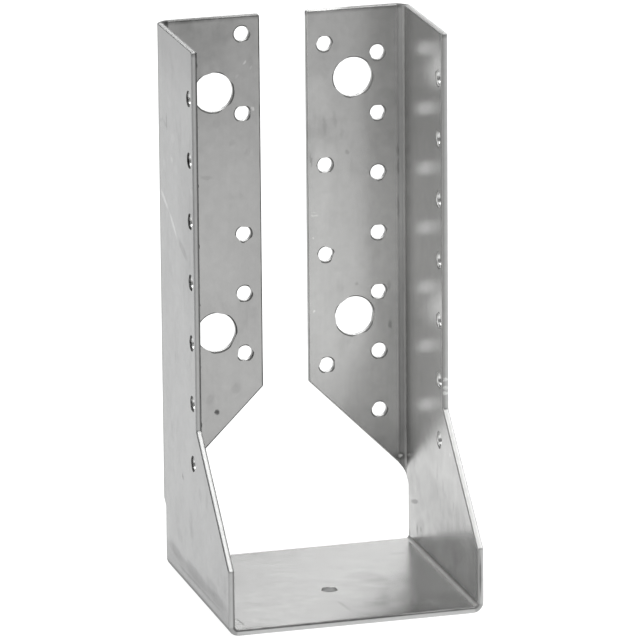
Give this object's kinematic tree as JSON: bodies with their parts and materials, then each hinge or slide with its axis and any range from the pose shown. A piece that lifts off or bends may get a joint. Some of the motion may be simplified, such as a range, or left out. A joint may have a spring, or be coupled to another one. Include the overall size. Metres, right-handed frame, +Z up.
{
  "type": "joist hanger",
  "caption": "Folded steel joist hanger with inward flanges: an open-fronted seat with two tall side cheeks that carries the end of a timber joist on a header.",
  "frame": {"origin": "middle of the bounding box at the underside of the seat, which stands on the table", "axes": "+Z up, +X to the right seen from the joist side, +Y from the joist towards the header"},
  "size_m": [0.084, 0.0826, 0.181],
  "materials": {
    "hanger": "satin galvanised sheet with sheared edges"
  },
  "bodies": {
    "root": {"hanger": "hanger"}
  },
  "joints": []
}
